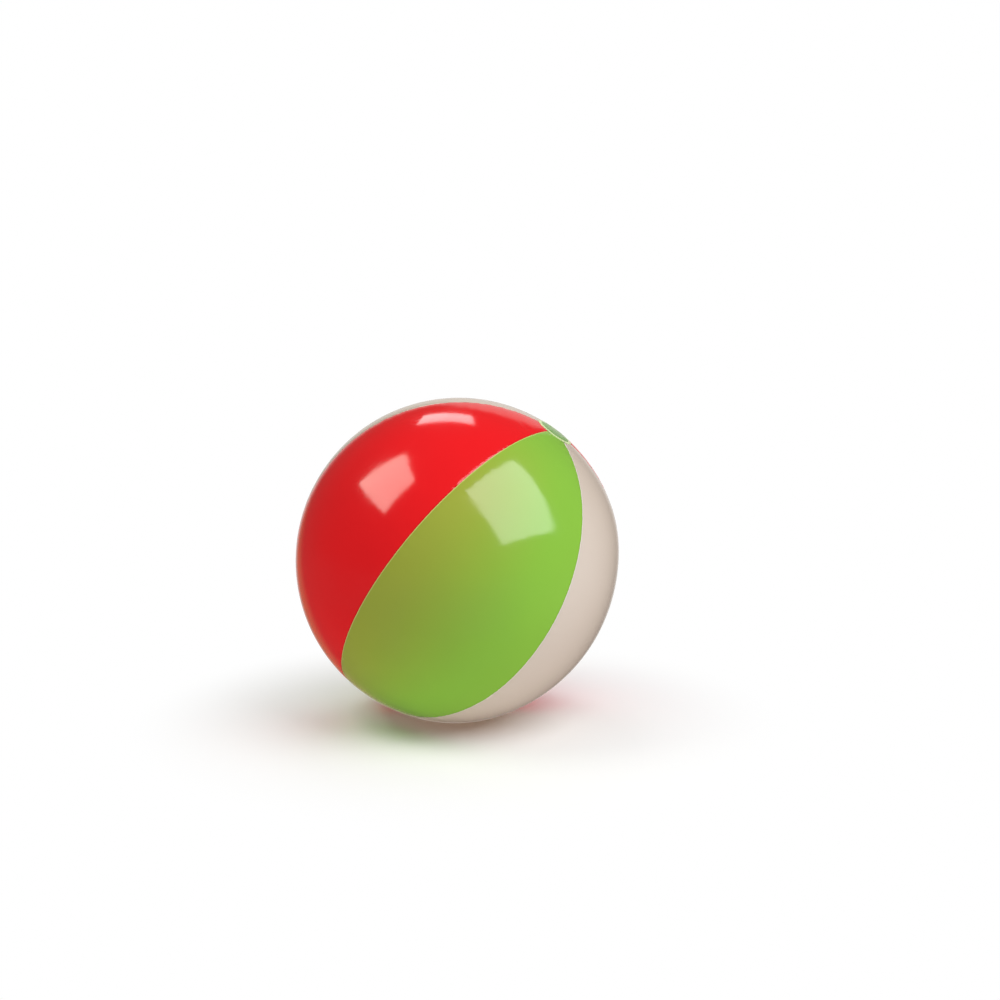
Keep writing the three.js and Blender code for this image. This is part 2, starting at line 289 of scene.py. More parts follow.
upper_pole = node_points("polar_disc_upper").mean(axis=0)
lower_pole = node_points("polar_disc_lower").mean(axis=0)
CENTRE = (upper_pole + lower_pole) / 2
POLE = unit(upper_pole - lower_pole)
OUTWARD = unit(np.array(joint("valve_stem_slide")["axis"]))
valve_meridian = unit(OUTWARD - OUTWARD @ POLE * POLE)
FRONT = turned(valve_meridian, POLE, -VALVE_GORE * GORE_ANGLE)
BALL_AXES = np.array([FRONT, np.cross(POLE, FRONT), POLE])

BALL_RADIUS = np.linalg.norm(node_points("gore_red_left") - CENTRE, axis=1).max()
TIP_ANGLE = math.asin(TIP_RADIUS / BALL_RADIUS)
DISC_RADIUS = np.linalg.norm(
    np.cross(node_points("polar_disc_upper") - CENTRE, POLE), axis=1
).max()

VALVE_LEVEL = ((node_points("valve_flange") - CENTRE) @ OUTWARD).max() + CAD_GAP + FILM
VALVE_FROM_POLE = math.acos(OUTWARD @ POLE)
VALVE_ORIGIN = CENTRE + OUTWARD * VALVE_LEVEL
valve_y = unit(np.array(joint("plug_hinge")["axis"]))
VALVE_AXES = np.array([np.cross(valve_y, OUTWARD), valve_y, OUTWARD])
VALVE_TO_WORLD = Matrix.Translation(VALVE_ORIGIN) @ (
    Matrix(VALVE_AXES.T.tolist()).to_4x4() @ Matrix.Scale(MM, 4)
)


# ---- the shape of the blown-up film -----------------------------------------------------------

def directions(from_pole, longitude):
    """Unit vectors in the world for points given in the ball's own coordinates."""
    own = np.stack(
        [
            np.sin(from_pole) * np.cos(longitude),
            np.sin(from_pole) * np.sin(longitude),
            np.cos(from_pole),
        ],
        axis=-1,
    )
    return own @ BALL_AXES


def own_coordinates(points):
    """The angle off the upper pole and the longitude of points in the world."""
    own = (points - CENTRE) @ BALL_AXES.T
    from_pole = np.arccos(own[:, 2] / np.linalg.norm(own, axis=1))
    return from_pole, np.arctan2(own[:, 1], own[:, 0])


def smooth_least(a, b, softness):
    """The smaller of two values, with the change from one to the other rounded."""
    return b - softness * np.logaddexp(0, (b - a) / softness)


def unevenness(toward):
    """Slow waves over the whole ball, the same on every run."""
    random = np.random.default_rng(UNEVEN_SEED)
    height = np.zeros(toward.shape[:-1])
    for _ in range(UNEVEN_WAVES):
        wave = unit(random.normal(size=3)) * random.uniform(*UNEVEN_SCALES)
        height += UNEVENNESS * np.sin(toward @ wave + random.uniform(0, 2 * math.pi))
    return height


def film_base(from_pole, longitude):
    """The ball's radius without its seams and flat spots."""
    toward = directions(from_pole, longitude)
    off_pole = np.minimum(from_pole, math.pi - from_pole)
    radius = BALL_RADIUS + POLE_BULGE * np.exp(-((off_pole / POLE_BULGE_ANGLE) ** 2))
    off_side = np.arccos(np.clip(toward @ np.array(SOFT_SIDE), -1, 1))
    radius -= SOFT_DEPTH * np.exp(-((off_side / SOFT_SPREAD) ** 4))
    off_disc = np.abs(BALL_RADIUS * np.sin(off_pole) - DISC_RADIUS)
    ripple = np.sin(DISC_PUCKERS * longitude) * np.exp(-off_disc / DISC_PUCKER_REACH)
    ripple *= np.minimum(1, off_pole / TIP_ANGLE)
    return radius + DISC_PUCKER_HEIGHT * ripple + unevenness(toward)


def seam_relief(from_pole, longitude):
    """How far the film is pulled in along the seams, and puckered beside them."""
    nearest = np.round(longitude / GORE_ANGLE - 0.5)
    off_seam = np.abs(longitude - (nearest + 0.5) * GORE_ANGLE)
    off_seam = off_seam * BALL_RADIUS * np.sin(from_pole)
    seam = nearest % len(GORES)  # one number for a seam, from whichever side it is reached
    along = BALL_RADIUS * from_pole
    relief = -CREASE_DEPTH * np.exp(-off_seam / CREASE_WIDTH)
    poleward = np.clip(BALL_RADIUS * np.sin(from_pole) / DISC_RADIUS - 1, 0, 1)
    for wavelength, height, reach in PUCKERS:
        # The odd ratios below keep the puckers uneven, and different on each seam.
        phase = 2 * math.pi * along / wavelength + 2.1 * seam
        uneven = phase + 1.6 * np.sin(phase / 5.3 + seam) + 0.9 * np.sin(phase / 2.7)
        strength = 0.62 + 0.38 * np.sin(phase / 7.1 + 2 * seam)
        pucker = height * strength * np.sin(uneven)
        relief += pucker * poleward * np.exp(-off_seam / reach)
    return relief


def valve_relief(toward):
    """Short puckers that run out from the valve's weld."""
    across = (toward @ VALVE_AXES.T)[..., :2] * BALL_RADIUS
    off_axis = np.hypot(across[..., 0], across[..., 1])
    beyond = np.maximum(off_axis - FLANGE_RADIUS * MM, 0)
    ripple = np.sin(VALVE_PUCKERS * np.arctan2(across[..., 1], across[..., 0]))
    rise = np.minimum(1, beyond / VALVE_PUCKER_RISE) * np.exp(-beyond / VALVE_PUCKER_REACH)
    return np.where(toward @ OUTWARD > 0, VALVE_PUCKER_HEIGHT * ripple * rise, 0)


def film_radius(from_pole, longitude):
    """How far the film's outer face is from the ball's centre."""
    toward = directions(from_pole, longitude)
    radius = film_base(from_pole, longitude) + seam_relief(from_pole, longitude)
    radius += valve_relief(toward)
    for normal, level in (((0, 0, -1), CENTRE[2]), (OUTWARD, VALVE_LEVEL)):
        # Away from its flat spot the plane is far outside the ball, so its distance is only capped.
        plane = level / np.maximum(toward @ np.array(normal), 0.5)
        radius = smooth_least(radius, plane, FLAT_SOFTNESS)
    return radius


def to_world(from_pole, longitude, radius):
    return CENTRE + directions(from_pole, longitude) * radius[..., None]


# ---- mesh helpers -----------------------------------------------------------------------------

def mesh_object(name, points, faces, sharp_angle=40):
    mesh = bpy.data.meshes.new(name)
    mesh.from_pydata([tuple(p) for p in points], [], [tuple(f) for f in faces])
    mesh.validate()
    piece = bpy.data.objects.new(name, mesh)
    bpy.context.scene.collection.objects.link(piece)
    shade(piece, sharp_angle)
    return piece


def shade(piece, sharp_angle=40):
    piece.data.polygons.foreach_set("use_smooth", [True] * len(piece.data.polygons))
    piece.data.set_sharp_from_angle(angle=math.radians(sharp_angle))


def point_outwards(piece):
    work = bmesh.new()
    work.from_mesh(piece.data)
    bmesh.ops.recalc_face_normals(work, faces=work.faces)
    work.to_mesh(piece.data)
    work.free()


def apply_modifiers(piece):
    evaluated = piece.evaluated_get(bpy.context.evaluated_depsgraph_get())
    mesh = bpy.data.meshes.new_from_object(evaluated)
    piece.modifiers.clear()
    piece.data = mesh


def shell_faces(rows, columns):
    """Faces of a closed shell: an outer grid of points, then the same grid inside it."""
    inside = rows * columns
    faces = []
    for i in range(rows - 1):
        for j in range(columns - 1):
            a = i * columns + j
            quad = (a, a + columns, a + columns + 1, a + 1)
            faces.append(quad)
            faces.append(tuple(inside + k for k in reversed(quad)))
    for i in range(rows - 1):
        a, b = i * columns, (i + 1) * columns
        faces.append((a, inside + a, inside + b, b))
        a, b = a + columns - 1, b + columns - 1
        faces.append((a, b, inside + b, inside + a))
    for a in range(columns - 1):
        faces.append((a, a + 1, inside + a + 1, inside + a))
        b = (rows - 1) * columns + a
        faces.append((b, inside + b, inside + b + 1, b + 1))
    return faces


# ---- the gores --------------------------------------------------------------------------------

def crowded(count):
    """Shares from 0 to 1, closer together at both ends."""
    even = np.arange(1, count) / count
    return even - COLUMN_CROWDING * np.sin(2 * math.pi * even) / (2 * math.pi)


def gore_columns(around_valve):
    """Each line along a gore: its share of the width, an offset from it, and if it is sunk."""
    shares = crowded(GORE_COLUMNS)
    if around_valve:
        reach = VALVE_REACH / (BALL_RADIUS * math.sin(VALVE_FROM_POLE) * GORE_ANGLE)
        fine = np.linspace(0.5 - reach, 0.5 + reach, VALVE_COLUMNS)
        coarse = shares[abs(shares - 0.5) > reach * 1.03]
        shares = np.sort(np.concatenate([coarse, fine]))
    starts = [(0, 0, 0), (0, EDGE_ROUND, 0)]
    middles = [(share, 0, 0) for share in shares]
    ends = [(1, -JOGGLE_WIDTH, 0), (1, -EDGE_ROUND, 1), (1, LAP_WIDTH / 2, 1), (1, LAP_WIDTH, 1)]
    return np.array(starts + middles + ends, float)


def gore_rows(around_valve):
    """The angles off the upper pole of the lines across a gore."""
    rows = np.linspace(TIP_ANGLE, math.pi - TIP_ANGLE, GORE_ROWS)
    if around_valve:
        reach = VALVE_REACH / BALL_RADIUS
        fine = np.linspace(VALVE_FROM_POLE - reach, VALVE_FROM_POLE + reach, VALVE_ROWS)
        coarse = rows[abs(rows - VALVE_FROM_POLE) > reach * 1.02]
        rows = np.sort(np.concatenate([coarse, fine]))
    return rows


def gore(name, index):
    """One closed shell of film, from tip to tip, with its weld flange under the next gore."""
    has_valve = index == VALVE_GORE
    rows, columns = gore_rows(has_valve), gore_columns(has_valve)
    parallel = BALL_RADIUS * np.sin(rows)[:, None]
    width = parallel * GORE_ANGLE
    share, offset, sunk = columns.T
    widest = np.where(offset > EDGE_ROUND, WIDEST_FLANGE, WIDEST_EDGE) * width
    offset = np.clip(offset, -widest, widest)
    longitude = (index - 0.5 + share) * GORE_ANGLE + offset / parallel
    from_pole = np.broadcast_to(rows[:, None], longitude.shape)
    outer = film_radius(from_pole, longitude) - sunk * (FILM + SEAM_GAP)
    faces = [to_world(from_pole, longitude, radius) for radius in (outer, outer - FILM)]
    points = np.concatenate([face.reshape(-1, 3) for face in faces])
    piece = mesh_object(name, points, shell_faces(*longitude.shape))
    if has_valve:
        cut_hole(piece)
    mark_seams(piece, index)
    return piece


def cut_hole(piece):
    """Opens the round hole that the valve sits in."""
    depth = DRILL_REACH
    profile = [(0, -depth), (HOLE_RADIUS, -depth), (HOLE_RADIUS, depth), (0, depth)]
    drill = lathe("valve_hole_drill", profile)
    drill.data.transform(VALVE_TO_WORLD)
    cut = piece.modifiers.new("hole", "BOOLEAN")
    cut.operation, cut.solver, cut.object = "DIFFERENCE", "EXACT", drill
    apply_modifiers(piece)
    bpy.data.objects.remove(drill)
    shade(piece)


def mark_seams(piece, index):
    """Marks each point with distances in mm.

    "seam" holds how far it is from the gore's two seams and from the upper pole along the film,
    and "off_valve" how far from the valve's axis.
    """
    points = np.array([v.co for v in piece.data.vertices])
    from_pole, longitude = own_coordinates(points)
    turn = (longitude - index * GORE_ANGLE + math.pi) % (2 * math.pi) - math.pi
    parallel = BALL_RADIUS * np.sin(from_pole)
    from_start = (turn + GORE_ANGLE / 2) * parallel
    to_end = (GORE_ANGLE / 2 - turn) * parallel
    marks = np.stack([from_start, to_end, BALL_RADIUS * from_pole], axis=1) / MM
    attribute = piece.data.attributes.new("seam", "FLOAT_VECTOR", "POINT")
    attribute.data.foreach_set("vector", marks.astype(np.float32).ravel())
    off_axis = np.linalg.norm(np.cross(points - VALVE_ORIGIN, OUTWARD), axis=1) / MM
    # The far side of the ball isn't near the valve, though the axis passes through it.
    far = (points - CENTRE) @ OUTWARD < 0
    attribute = piece.data.attributes.new("off_valve", "FLOAT", "POINT")
    attribute.data.foreach_set("value", np.where(far, BALL_RADIUS / MM, off_axis))


# ---- the polar discs --------------------------------------------------------------------------

def disc_height(reach, longitude):
    """How far the disc's top stands off the film's base, at a distance from the pole."""
    off_seam = ((longitude / GORE_ANGLE) % 1 - 0.5) * GORE_ANGLE * reach
    over_film = np.clip((reach - TIP_RADIUS) / DISC_STEP + 0.5, 0, 1)
    height = SEAM_GAP + DISC_FILM + FILM * (over_film - 1)
    height = height + DISC_RIDGE * over_film * np.exp(-((off_seam / DISC_RIDGE_WIDTH) ** 2))
    ring = np.exp(-(((reach - WELD_RING) / WELD_RING_WIDTH) ** 2))
    return height - WELD_RING_DEPTH * ring


def polar_disc(name, upper):
    """The round film welded over the gore tips, as a closed shell with a rounded rim."""
    reach = DISC_RADIUS * np.linspace(0, 1, DISC_RINGS) ** DISC_CROWDING
    reach[0] = DISC_CENTRE
    longitude = np.arange(DISC_SIDES) * 2 * math.pi / DISC_SIDES
    reach, longitude = np.meshgrid(reach, longitude, indexing="ij")
    off_pole = np.arcsin(reach / BALL_RADIUS)
    from_pole = off_pole if upper else math.pi - off_pole
    base = film_base(from_pole, longitude)
    height = disc_height(reach, longitude)
    from_rim = np.clip((DISC_RADIUS - reach) / DISC_FILM, 0, 1)
    top = height - DISC_FILM / 2 * (1 - np.sqrt(1 - (1 - from_rim) ** 2))
    bottom = height - DISC_FILM
    faces = [to_world(from_pole, longitude, base + level) for level in (top, bottom)]
    points = np.concatenate([face.reshape(-1, 3) for face in faces])
    piece = mesh_object(name, points, disc_faces(*reach.shape), sharp_angle=60)
    point_outwards(piece)
    attribute = piece.data.attributes.new("reach", "FLOAT", "POINT")  # mm from the pole
    attribute.data.foreach_set("value", np.tile(reach.ravel(), 2) / MM)
    return piece


def disc_faces(rings, sides):
    """Faces between rings of points, closed in the middle and round the rim."""
    inside = rings * sides
    faces = [tuple(range(sides)), tuple(inside + k for k in range(sides))]
    for side in range(sides):
        following = (side + 1) % sides
        for ring in range(rings - 1):
            a, b = ring * sides + side, ring * sides + following
            faces.append((a, a + sides, b + sides, b))
            faces.append((inside + a, inside + b, inside + b + sides, inside + a + sides))
        a, b = (rings - 1) * sides + side, (rings - 1) * sides + following
        faces.append((a, inside + a, inside + b, b))
    return faces


# ---- the valve, in its own frame and in millimetres ---------------------------------------------

def lathe(name, profile):
    """Turns a closed outline of (radius, height) corners about the valve's axis."""
    sides = LATHE_SIDES
    points, rows = [], []
    for radius, height in profile:
        if radius == 0:
            rows.append([len(points)] * sides)
            points.append((0, 0, height))
        else:
            rows.append(list(range(len(points), len(points) + sides)))
            for side in range(sides):
                angle = 2 * math.pi * side / sides
                points.append((radius * math.cos(angle), radius * math.sin(angle), height))
    faces = []
    for row, following in zip(rows, rows[1:] + rows[:1]):
        for side in range(sides):
            beside = (side + 1) % sides
            quad = [row[side], row[beside], following[beside], following[side]]
            corners = list(dict.fromkeys(quad))
            if len(corners) > 2:
                faces.append(corners)
    piece = mesh_object(name, points, faces)
    point_outwards(piece)
    return piece


def rounded(profile, fillet):
    """An outline with its corners rounded; corners on the axis stay sharp."""
    outline = []
    count = len(profile)
    for k, corner in enumerate(profile):
        here = Vector(corner)
        before, after = Vector(profile[k - 1]), Vector(profile[(k + 1) % count])
        if corner[0] == 0:
            outline.append(tuple(here))
            continue
        reach = min(fillet, 0.45 * (before - here).length, 0.45 * (after - here).length)
        start = here + (before - here).normalized() * reach
        end = here + (after - here).normalized() * reach
        for step in range(FILLET_STEPS + 1):
            t = step / FILLET_STEPS
            outline.append(tuple((1 - t) ** 2 * start + 2 * t * (1 - t) * here + t * t * end))
    return outline


def block(name, xs, ys, zs):
    """A box given by where it starts and ends along each axis."""
    points = [(x, y, z) for x in xs for y in ys for z in zs]
    faces = [(0, 1, 3, 2), (4, 6, 7, 5), (0, 4, 5, 1), (2, 3, 7, 6), (0, 2, 6, 4), (1, 5, 7, 3)]
    piece = mesh_object(name, points, faces)
    point_outwards(piece)
    return piece


def moulded(name, smoothing, *parts):
    """Joins overlapping parts into one soft-edged moulding. More smoothing makes it softer."""
    work = bmesh.new()
    for part in parts:
        work.from_mesh(part.data)
        bpy.data.objects.remove(part)
    mesh = bpy.data.meshes.new(name)
    work.to_mesh(mesh)
    work.free()
    piece = bpy.data.objects.new(name, mesh)
    bpy.context.scene.collection.objects.link(piece)
    remesh = piece.modifiers.new("mould", "REMESH")
    remesh.mode, remesh.voxel_size = "VOXEL", VOXEL
    smooth = piece.modifiers.new("soften", "SMOOTH")
    smooth.factor, smooth.iterations = 0.5, smoothing
    apply_modifiers(piece)
    shade(piece, sharp_angle=80)
    return piece


def into_place(piece):
    piece.data.transform(VALVE_TO_WORLD)
    piece.data.update()
    return piece


STRAP_SIDES = (-STRAP_WIDTH / 2, STRAP_WIDTH / 2)
EAR_REACH = HINGE_REACH - STRAP_LEAF


def valve_flange():
    """The flat ring that is welded to the inside of the film."""
    foot = FLANGE_TOP - FLANGE_THICKNESS
    profile = [
        (FLANGE_BORE, foot),
        (FLANGE_RADIUS, foot),
        (FLANGE_RADIUS, FLANGE_TOP),
        (FLANGE_BORE, FLANGE_TOP),
    ]
    return into_place(lathe("valve_flange_ring", rounded(profile, FLANGE_FILLET)))


def valve_membrane():
    """The soft cone, with a rolled fold at its rim and its foot."""
    rim = FLANGE_BORE - MEMBRANE_CLEARANCE
    foot = STEM_RADIUS + MEMBRANE_CLEARANCE
    top, underside = [], []
    for step in range(MEMBRANE_STEPS + 1):
        t = step / MEMBRANE_STEPS
        radius = rim + (foot - rim) * t
        fall = t + MEMBRANE_ROLL * (t * t * (3 - 2 * t) - t)
        level = MEMBRANE_RIM + (MEMBRANE_FOOT - MEMBRANE_RIM) * fall
        top.append((radius, level))
        underside.append((radius, level - MEMBRANE_FILM))
    return into_place(lathe("valve_membrane_cone", top + underside[::-1]))


def valve_stem():
    """The tube, with a lip at its mouth and an ear for the strap."""
    lip_foot = MOUTH_LEVEL - STEM_LIP_HEIGHT
    profile = [
        (BORE_RADIUS, STEM_FOOT_LEVEL),
        (STEM_RADIUS, STEM_FOOT_LEVEL),
        (STEM_RADIUS, lip_foot),
        (STEM_LIP_RADIUS, lip_foot),
        (STEM_LIP_RADIUS, MOUTH_LEVEL),
        (BORE_RADIUS, MOUTH_LEVEL),
    ]
    tube = lathe("stem_tube", profile)
    ear_levels = (MOUTH_LEVEL - STRAP_THICKNESS, MOUTH_LEVEL)
    ear = block("stem_ear", (STEM_RADIUS, EAR_REACH), STRAP_SIDES, ear_levels)
    return into_place(moulded("valve_stem_tube", 3, tube, ear))


def valve_plug():
    """The stopper: a shank with a sealing ridge, a dished head, an arm and a finger tab."""
    top = PLUG_SEAT + PLUG_HEAD_THICKNESS
    end = MOUTH_LEVEL - PLUG_SHANK_LENGTH
    dish_start, dish_end, dish_depth = PLUG_DISH
    profile = [(radius, end + height) for radius, height in PLUG_SHANK] + [
        (PLUG_NECK_RADIUS, PLUG_SEAT),
        (PLUG_HEAD_RADIUS, PLUG_SEAT),
        (PLUG_HEAD_RADIUS, top - PLUG_HEAD_ROUND),
        (PLUG_HEAD_RADIUS - PLUG_HEAD_ROUND, top),
        (PLUG_HEAD_RADIUS - dish_start, top),
        (PLUG_HEAD_RADIUS - dish_end, top - dish_depth),
        (0, top - dish_depth),
    ]
    body = lathe("plug_body", profile)
    arm_levels = (PLUG_SEAT, PLUG_SEAT + STRAP_THICKNESS)
    arm = block("plug_arm", (PLUG_ROOT, EAR_REACH), STRAP_SIDES, arm_levels)

    radius, foot = PLUG_TAB_RADIUS, top - PLUG_TAB_THICKNESS
    tip_place = radius - PLUG_TAB_REACH
    tab_span = (tip_place - PLUG_TAB_OVERLAP, -PLUG_ROOT)
    tab = block("plug_tab", tab_span, (-radius, radius), (foot, top))
    tip = lathe("plug_tab_tip", [(0, foot), (radius, foot), (radius, top), (0, top)])
    tip.data.transform(Matrix.Translation((tip_place, 0, 0)))
    return into_place(moulded("valve_plug_stopper", 3, body, arm, tab, tip))


def plug_strap():
    """The living hinge: two leaves joined by a thin fold that lies on the hinge's axis."""
    inner = EAR_REACH - HINGE_REACH + 0.02
    low = -STRAP_THICKNESS
    high = PLUG_SEAT - MOUTH_LEVEL + STRAP_THICKNESS
    # Across and up from the hinge's axis: round the outside of both leaves, then the slot between.
    outline = [
        (inner, low), (0.28, low), (0.03, -0.06), (0.03, 0.2), (0.3, high),
        (inner, high), (inner, 0.34), (-0.16, 0.15), (inner, -0.04),
    ]
    points = [
        (HINGE_REACH + x, y, HINGE_LEVEL + z) for y in STRAP_SIDES for x, z in outline
    ]
    count = len(outline)
    faces = [tuple(range(count)), tuple(count + k for k in range(count))]
    for k in range(count):
        following = (k + 1) % count
        faces.append((k, following, count + following, count + k))
    piece = mesh_object("plug_strap_hinge", points, faces, sharp_angle=30)
    work = bmesh.new()
    work.from_mesh(piece.data)
    bmesh.ops.triangulate(work, faces=[f for f in work.faces if len(f.verts) > 4])
    bmesh.ops.recalc_face_normals(work, faces=work.faces)
    bmesh.ops.subdivide_edges(work, edges=work.edges, cuts=2, use_grid_fill=True)
    work.to_mesh(piece.data)
    work.free()
    return into_place(piece)


def check_flap():
    """The soft disc under the stem, with the tab that it hangs from."""
    top = STEM_FOOT_LEVEL - FLAP_GAP
    foot = top - FLAP_THICKNESS
    disc = lathe("flap_disc", [(0, foot), (FLAP_RADIUS, foot), (FLAP_RADIUS, top), (0, top)])
    sides = (-FLAP_TAB_WIDTH / 2, FLAP_TAB_WIDTH / 2)
    tab = block("flap_tab", (0, FLAP_TAB_REACH), sides, (foot, top))
    return into_place(moulded("check_flap_disc", 1, disc, tab))


# ---- materials --------------------------------------------------------------------------------

def srgb(colour):
    """A 0xRRGGBB colour as linear RGBA."""
    parts = [(colour >> shift & 255) / 255 for shift in (16, 8, 0)]
    linear = [c / 12.92 if c <= 0.04045 else ((c + 0.055) / 1.055) ** 2.4 for c in parts]
    return (*linear, 1)


class Shader:
    """A material's nodes, written as short calls that return output sockets."""

    def __init__(self, name):
        self.material = bpy.data.materials.new(name)
        self.material.use_nodes = True
        self.tree = self.material.node_tree
        self.surface = self.tree.nodes["Principled BSDF"]

    def feed(self, socket, value):
        if isinstance(value, bpy.types.NodeSocket):
            self.tree.links.new(value, socket)
        else:
            socket.default_value = value

    def node(self, kind, inputs=None, **settings):
        node = self.tree.nodes.new("ShaderNode" + kind)
        for name, value in settings.items():
            setattr(node, name, value)
        for name, value in (inputs or {}).items():
            self.feed(node.inputs[name], value)
        return node

    def set(self, **values):
        for name, value in values.items():
            self.feed(self.surface.inputs[name.replace("_", " ")], value)

    def math(self, operation, a, b=0.0):
        return self.node("Math", {0: a, 1: b}, operation=operation).outputs[0]

    def ramp(self, value, start, end, at_start, at_end):
        """One value up to start, another from end on, and a smooth change between."""
        inputs = {"From Min": start, "From Max": end, "To Min": at_start, "To Max": at_end}
        node = self.node("MapRange", {"Value": value, **inputs}, interpolation_type="SMOOTHSTEP")
        return node.outputs[0]

    def mix(self, share, first, second):
        node = self.node("Mix", data_type="RGBA")
        for index, value in ((0, share), (6, first), (7, second)):
            self.feed(node.inputs[index], value)
        return node.outputs[2]

    def noise(self, where, scale, detail=3.0):
        inputs = {"Vector": where, "Scale": scale, "Detail": detail}
        return self.node("TexNoise", inputs).outputs[0]

    def place(self):
        return self.node("TexCoord").outputs["Object"]

    def mark(self, name, output="Fac"):
        """A value that the mesh holds for each of its points."""
        return self.node("Attribute", attribute_name=name).outputs[output]

    def clouds(self, place, scale, most=1.0):
        """Soft patches, from 0 to most."""
        return self.ramp(self.noise(place, scale), *CLOUD_RANGE, 0.0, most)

    def scuffs(self, place, scale, detail, span, ends):
        """Roughness that changes in patches."""
        return self.ramp(self.noise(place, scale, detail), *span, *ends)

    def bump(self, height, distance, normal=None):
        inputs = {"Height": height, "Distance": distance, "Strength": 1.0}
        if normal is not None:
            inputs["Normal"] = normal
        return self.node("Bump", inputs).outputs[0]


def film_grain(shader, place):
    """The film's slight ripple and its surface scuff, as a normal and a roughness."""
    normal = None
    for scale, height in (FILM_RIPPLE, FILM_GRAIN):
        normal = shader.bump(shader.noise(place, scale, 2), height, normal)
    return normal, shader.scuffs(place, *FILM_SCUFF)


def weld_ribs(shader, distance, in_weld, normal):
    """Adds the ribs of a weld to a normal. They cross the way that distance, in mm, is measured."""
    spacing, depth = WELD_RIBS
    rib = shader.math("SINE", shader.math("MULTIPLY", distance, 2 * math.pi / spacing))
    return shader.bump(shader.math("MULTIPLY", rib, in_weld), depth, normal)


def vinyl(name):
    """Glossy gore film: pale, with a painted highlight, on the weld's cut edge; painted shade where
    films overlap.
    """
    before, after, edge, deep_tone_and_crease_shade = (srgb(colour) for colour in VINYLS[name])
    shader = Shader(name)
    place = shader.place()
    seam = shader.mark("seam", "Vector")
    from_start, to_end, along = shader.node("SeparateXYZ", {0: seam}).outputs
    off_valve = shader.mark("off_valve")

    # Painted light from the gore before, shining through the film beside their seam.
    share = shader.math("DIVIDE", from_start, shader.math("ADD", from_start, to_end))
    painted_shine_share = shader.ramp(share, *PAINTED_SHINE_THROUGH)
    painted_shine_share = shader.math("MULTIPLY", painted_shine_share, shader.ramp(along, *PAINTED_SHINE_RISE))
    tone = shader.mix(painted_shine_share, after, before)
    tone = shader.mix(shader.clouds(place, FILM_CLOUDS, FILM_CLOUD_SHARE), tone, deep_tone_and_crease_shade)
    # The cut edge: paler where the weld squeezes out, with a painted highlight on it.
    tone = shader.mix(shader.ramp(from_start, *PALE_EDGE_AND_HIGHLIGHT), tone, edge)
    # Painted shade in the crease where the film lies on the next gore.
    tone = shader.mix(shader.ramp(to_end, *PAINTED_CREASE_SHADE), tone, deep_tone_and_crease_shade)

    normal, roughness = film_grain(shader, place)
    in_seam = shader.ramp(from_start, *SEAM_WELD)
    past_hole = shader.ramp(off_valve, *RING_WELD_START)
    within_flange = shader.ramp(off_valve, *RING_WELD_END)
    in_ring = shader.math("MULTIPLY", past_hole, within_flange)
    normal = weld_ribs(shader, along, in_seam, normal)
    normal = weld_ribs(shader, off_valve, in_ring, normal)
    welded = shader.math("MAXIMUM", in_seam, in_ring)
    roughness = shader.math("ADD", roughness, shader.math("MULTIPLY", welded, WELD_ROUGHNESS))
    shader.set(Base_Color=tone, Normal=normal, Roughness=roughness, IOR=VINYL_IOR)
    return shader.material


def disc_vinyl():
    """Film of the polar discs: a printed green middle and a paler band round its rim, with weld
    ribs.
    """
    shader = Shader("disc_vinyl")
    place = shader.place()
    reach = shader.mark("reach")
    printed = shader.mix(shader.clouds(place, DISC_CLOUDS), *map(srgb, DISC_PRINT))
    past_middle = shader.math("SUBTRACT", reach, (DISC_RADIUS - DISC_MARGIN) / MM)
    tone = shader.mix(shader.ramp(past_middle, *DISC_PRINT_EDGE), printed, srgb(DISC_PALE))
    normal, roughness = film_grain(shader, place)
    normal = weld_ribs(shader, reach, shader.ramp(past_middle, *DISC_WELD), normal)
    shader.set(Base_Color=tone, Normal=normal, Roughness=roughness, IOR=VINYL_IOR)
    return shader.material


def valve_vinyl():
    """Soft milky moulded vinyl with a fine satin grain."""
    shader = Shader("valve_vinyl")
    place = shader.place()
    tone = shader.mix(shader.clouds(place, MILKY_CLOUDS), *map(srgb, MILKY))
    scale, height = MILKY_GRAIN
    normal = shader.bump(shader.noise(place, scale, 2), height)
    roughness = shader.scuffs(place, *MILKY_SCUFF)
    shader.set(Base_Color=tone, Normal=normal, Roughness=roughness, IOR=MILKY_IOR)
    shader.set(Subsurface_Weight=MILKY_SHARE, Subsurface_Scale=MILKY_DEPTH)
    return shader.material


# ---- the stage --------------------------------------------------------------------------------

def add_camera():
    camera = bpy.data.cameras.new("camera")
    camera.lens, camera.sensor_width = LENS, SENSOR
    holder = bpy.data.objects.new("camera", camera)
    holder.location, holder.rotation_euler = CAMERA_PLACE, CAMERA_TURN
    bpy.context.scene.collection.objects.link(holder)
    bpy.context.scene.camera = holder


def add_lamp(name, place, facing, width_along, size, radiance, tint=(1, 1, 1), mirrored=True):
    """A rectangular lamp that the camera doesn't see."""
    lamp = bpy.data.lights.new(name, "AREA")
    lamp.shape = "RECTANGLE"
    lamp.size, lamp.size_y = size
    lamp.color = tint
    lamp.energy = radiance * math.pi * lamp.size * lamp.size_y
    holder = bpy.data.objects.new(name, lamp)
    z = -Vector(facing).normalized()
    x = Vector(width_along)
    x = (x - x.dot(z) * z).normalized()
    turn = Matrix((x, z.cross(x), z)).transposed()
    holder.matrix_world = Matrix.Translation(Vector(place)) @ turn.to_4x4()
    holder.visible_camera = False
    holder.visible_glossy = mirrored
    bpy.context.scene.collection.objects.link(holder)


